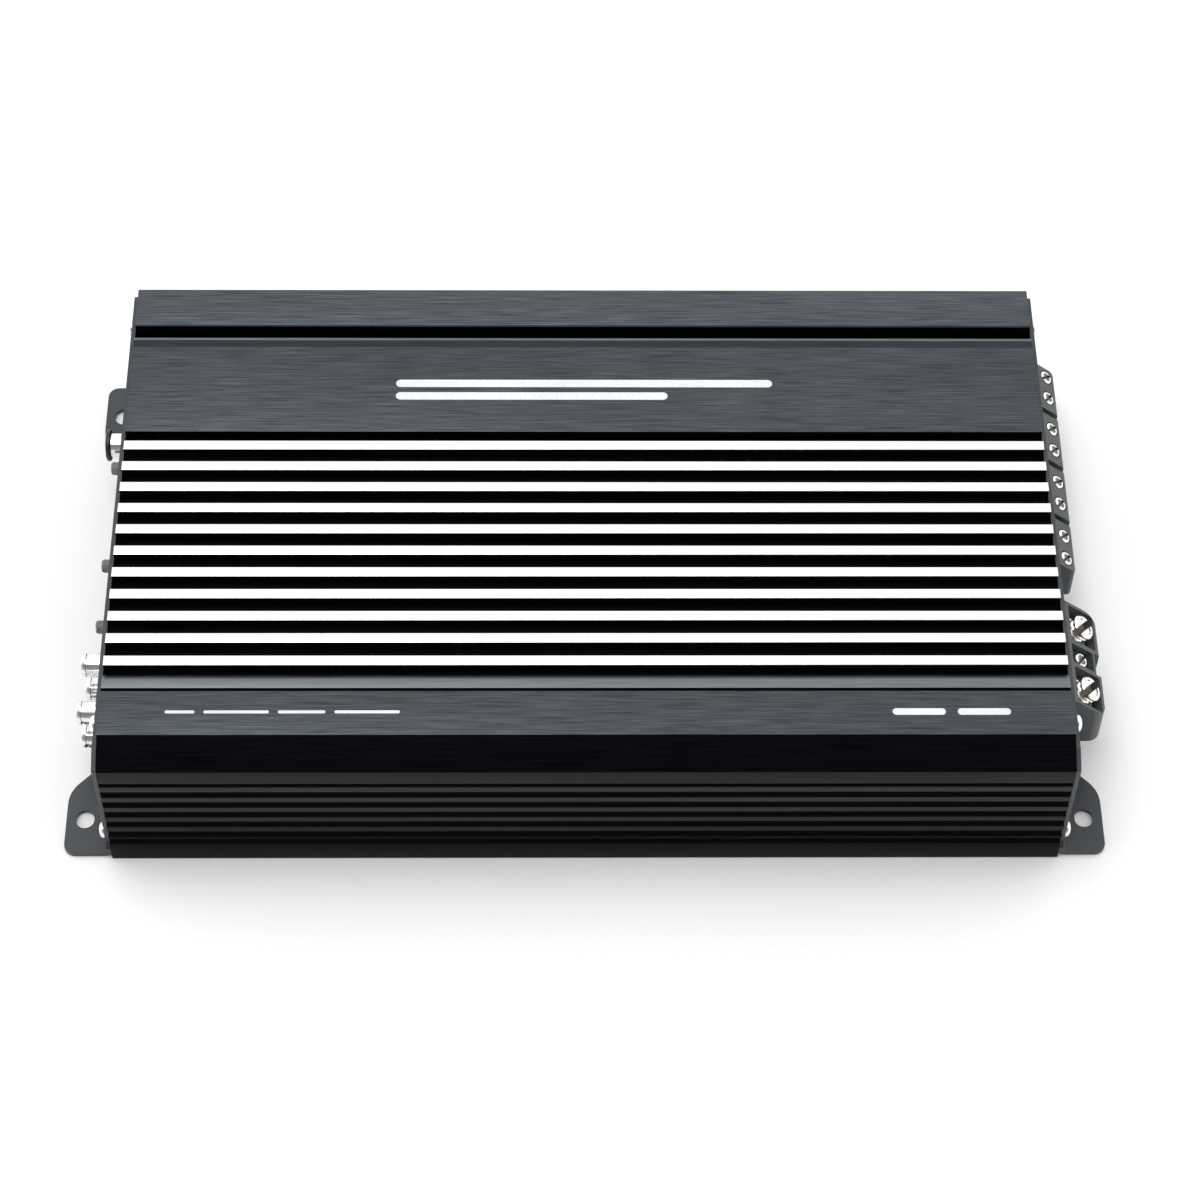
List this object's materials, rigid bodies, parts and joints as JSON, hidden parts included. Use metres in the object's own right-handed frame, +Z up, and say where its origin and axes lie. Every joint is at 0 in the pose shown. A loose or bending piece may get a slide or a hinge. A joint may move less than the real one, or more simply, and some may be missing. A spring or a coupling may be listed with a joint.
{
  "type": "car amplifier",
  "caption": "Low rectangular car audio amplifier: finned brushed extrusion, eared steel end plates, phono inputs on one end, screw terminals on the other.",
  "frame": {"origin": "middle of the footprint, at the surface the amplifier lies on", "axes": "+X along the extrusion from the inputs to the outputs, +Y from the ribbed front to the back, +Z up"},
  "size_m": [0.3624, 0.209, 0.059],
  "materials": {
    "brushed_shell": "fine brushed anodised aluminium, polished fin tips, black painted bevel and channels",
    "end_plates": "satin dark grey powder coat",
    "bottom_cover": "satin black powder coat",
    "screw_steel": "bright nickel plated steel",
    "board": "green solder resist",
    "terminal_plastic": "fine grained dark grey moulding",
    "terminal_screws": "bright nickel plated steel",
    "pressure_feet": "nickel plated",
    "jack_housing": "black moulding",
    "rca_shells": "polished nickel plate",
    "socket_ring": "polished",
    "socket_black": "smooth black moulding",
    "control_grey": "mid grey moulding",
    "component_plastic": "black moulding",
    "lamp_lens": "clear blue lens",
    "copper_windings": "enamelled copper wire",
    "capacitor_sleeve": "dark blue shrink sleeve",
    "clamp_bars": "mill finish"
  },
  "bodies": {
    "chassis": {"bass_control_body": "component_plastic", "board_fuse": "component_plastic", "bottom_cover": "bottom_cover", "bottom_cover_screw_1": "screw_steel", "bottom_cover_screw_2": "screw_steel", "bottom_cover_screw_3": "screw_steel", "bottom_cover_screw_4": "screw_steel", "end_plate_left": "end_plates", "end_plate_right": "end_plates", "end_plate_screw_left_1": "screw_steel", "end_plate_screw_left_2": "screw_steel", "end_plate_screw_left_3": "screw_steel", "end_plate_screw_left_4": "screw_steel", "end_plate_screw_right_1": "screw_steel", "end_plate_screw_right_2": "screw_steel", "end_plate_screw_right_3": "screw_steel", "end_plate_screw_right_4": "screw_steel", "filter_control_body": "component_plastic", "filter_switch_1_body": "component_plastic", "filter_switch_2_body": "component_plastic", "heatsink_shell": "brushed_shell", "level_control_body": "component_plastic", "main_board": "board", "output_choke": "copper_windings", "power_lamp": "lamp_lens", "power_terminal_block": "terminal_plastic", "power_transformer": "copper_windings", "rca_jack_1": "rca_shells", "rca_jack_2": "rca_shells", "rca_jack_3": "rca_shells", "rca_jack_4": "rca_shells", "rca_jack_housing": "jack_housing", "remote_level_socket": "socket_black", "socket_ring": "socket_ring", "speaker_terminal_block": "terminal_plastic", "storage_capacitor_1": "capacitor_sleeve", "storage_capacitor_2": "capacitor_sleeve", "transistor_clamp_back": "clamp_bars", "transistor_clamp_front": "clamp_bars"},
    "level_control": {"level_control_shaft": "control_grey"},
    "filter_control": {"filter_control_shaft": "control_grey"},
    "bass_control": {"bass_control_shaft": "control_grey"},
    "filter_switch_1": {"filter_switch_1_slider": "control_grey"},
    "filter_switch_2": {"filter_switch_2_slider": "control_grey"},
    "speaker_screw_1": {"speaker_terminal_screw_1": "terminal_screws"},
    "speaker_screw_2": {"speaker_terminal_screw_2": "terminal_screws"},
    "speaker_screw_3": {"speaker_terminal_screw_3": "terminal_screws"},
    "speaker_screw_4": {"speaker_terminal_screw_4": "terminal_screws"},
    "speaker_screw_5": {"speaker_terminal_screw_5": "terminal_screws"},
    "speaker_screw_6": {"speaker_terminal_screw_6": "terminal_screws"},
    "speaker_screw_7": {"speaker_terminal_screw_7": "terminal_screws"},
    "speaker_screw_8": {"speaker_terminal_screw_8": "terminal_screws"},
    "battery_foot": {"battery_pressure_foot": "pressure_feet"},
    "battery_screw": {"battery_terminal_screw": "terminal_screws"},
    "remote_foot": {"remote_pressure_foot": "pressure_feet"},
    "remote_screw": {"remote_terminal_screw": "terminal_screws"},
    "ground_foot": {"ground_pressure_foot": "pressure_feet"},
    "ground_screw": {"ground_terminal_screw": "terminal_screws"}
  },
  "joints": [
    {"name": "level_control_turn", "type": "hinge", "parent": "chassis", "child": "level_control", "pos_m": [-0.166, -0.0249, 0.026], "axis": [-1, 0, 0], "range_deg": [-150, 150]},
    {"name": "filter_control_turn", "type": "hinge", "parent": "chassis", "child": "filter_control", "pos_m": [-0.166, 0.0017, 0.026], "axis": [-1, 0, 0], "range_deg": [-150, 150]},
    {"name": "bass_control_turn", "type": "hinge", "parent": "chassis", "child": "bass_control", "pos_m": [-0.166, 0.0458, 0.026], "axis": [-1, 0, 0], "range_deg": [-150, 150]},
    {"name": "filter_switch_1_slide", "type": "slide", "parent": "chassis", "child": "filter_switch_1", "axis": [0, 1, 0], "range_m": [-0.002, 0.002]},
    {"name": "filter_switch_2_slide", "type": "slide", "parent": "chassis", "child": "filter_switch_2", "axis": [0, 1, 0], "range_m": [-0.002, 0.002]},
    {"name": "speaker_screw_1_turn", "type": "hinge", "parent": "chassis", "child": "speaker_screw_1", "pos_m": [0.173, 0.0837, 0.03279], "axis": [0.6428, 0, 0.766], "range_deg": [-1080, 0]},
    {"name": "speaker_screw_2_turn", "type": "hinge", "parent": "chassis", "child": "speaker_screw_2", "pos_m": [0.173, 0.0738, 0.03279], "axis": [0.6428, 0, 0.766], "range_deg": [-1080, 0]},
    {"name": "speaker_screw_3_turn", "type": "hinge", "parent": "chassis", "child": "speaker_screw_3", "pos_m": [0.173, 0.0592, 0.03279], "axis": [0.6428, 0, 0.766], "range_deg": [-1080, 0]},
    {"name": "speaker_screw_4_turn", "type": "hinge", "parent": "chassis", "child": "speaker_screw_4", "pos_m": [0.173, 0.0493, 0.03279], "axis": [0.6428, 0, 0.766], "range_deg": [-1080, 0]},
    {"name": "speaker_screw_5_turn", "type": "hinge", "parent": "chassis", "child": "speaker_screw_5", "pos_m": [0.173, 0.0347, 0.03279], "axis": [0.6428, 0, 0.766], "range_deg": [-1080, 0]},
    {"name": "speaker_screw_6_turn", "type": "hinge", "parent": "chassis", "child": "speaker_screw_6", "pos_m": [0.173, 0.0248, 0.03279], "axis": [0.6428, 0, 0.766], "range_deg": [-1080, 0]},
    {"name": "speaker_screw_7_turn", "type": "hinge", "parent": "chassis", "child": "speaker_screw_7", "pos_m": [0.173, 0.0102, 0.03279], "axis": [0.6428, 0, 0.766], "range_deg": [-1080, 0]},
    {"name": "speaker_screw_8_turn", "type": "hinge", "parent": "chassis", "child": "speaker_screw_8", "pos_m": [0.173, 0.0003, 0.03279], "axis": [0.6428, 0, 0.766], "range_deg": [-1080, 0]},
    {"name": "battery_foot_travel", "type": "slide", "parent": "chassis", "child": "battery_foot", "axis": [0.6428, 0, 0.766], "range_m": [-0.004, 0]},
    {"name": "battery_screw_turn", "type": "hinge", "parent": "battery_foot", "child": "battery_screw", "pos_m": [0.1748, -0.033, 0.03697], "axis": [0.6428, 0, 0.766], "range_deg": [-1160, 0]},
    {"name": "remote_foot_travel", "type": "slide", "parent": "chassis", "child": "remote_foot", "axis": [0.6428, 0, 0.766], "range_m": [-0.0028, 0]},
    {"name": "remote_screw_turn", "type": "hinge", "parent": "remote_foot", "child": "remote_screw", "pos_m": [0.1744, -0.046, 0.0373], "axis": [0.6428, 0, 0.766], "range_deg": [-1448, 0]},
    {"name": "ground_foot_travel", "type": "slide", "parent": "chassis", "child": "ground_foot", "axis": [0.6428, 0, 0.766], "range_m": [-0.004, 0]},
    {"name": "ground_screw_turn", "type": "hinge", "parent": "ground_foot", "child": "ground_screw", "pos_m": [0.1748, -0.0589, 0.03697], "axis": [0.6428, 0, 0.766], "range_deg": [-1160, 0]}
  ],
  "couplings": [
    {"joint": "battery_screw_turn", "follows": "battery_foot_travel", "rad_per_m": 5026.5},
    {"joint": "remote_screw_turn", "follows": "remote_foot_travel", "rad_per_m": 8976},
    {"joint": "ground_screw_turn", "follows": "ground_foot_travel", "rad_per_m": 5026.5}
  ]
}
